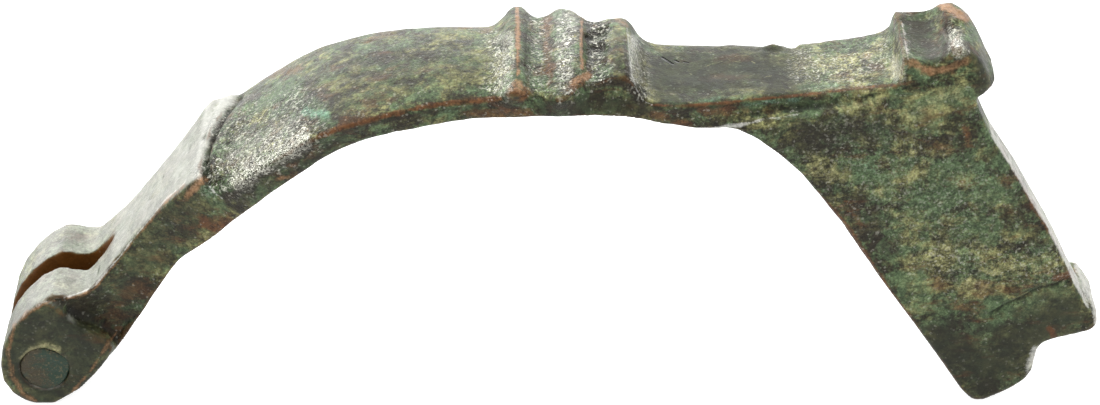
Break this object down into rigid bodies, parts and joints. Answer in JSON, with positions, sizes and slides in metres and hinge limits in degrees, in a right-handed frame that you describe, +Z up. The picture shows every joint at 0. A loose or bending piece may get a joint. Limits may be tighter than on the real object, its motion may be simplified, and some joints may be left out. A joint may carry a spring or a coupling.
{
  "type": "hinged bow brooch",
  "caption": "Cast copper-alloy arched bow brooch with a slotted hinge head, cross mouldings, a foot knob and a deep catchplate; its needle is lost.",
  "frame": {"origin": "middle of the brooch's length and width, level with its feet", "axes": "+X from the hinge head to the foot knob, +Y away from the catchplate's outer face, +Z up"},
  "size_m": [0.0504, 0.0082, 0.0187],
  "materials": {
    "casting": "old copper alloy with a dark green and brown patina, worn to bare metal on its edges",
    "axle": "corroded green rod end"
  },
  "bodies": {
    "root": {"brooch_casting": "casting", "hinge_axle": "axle"}
  },
  "joints": []
}
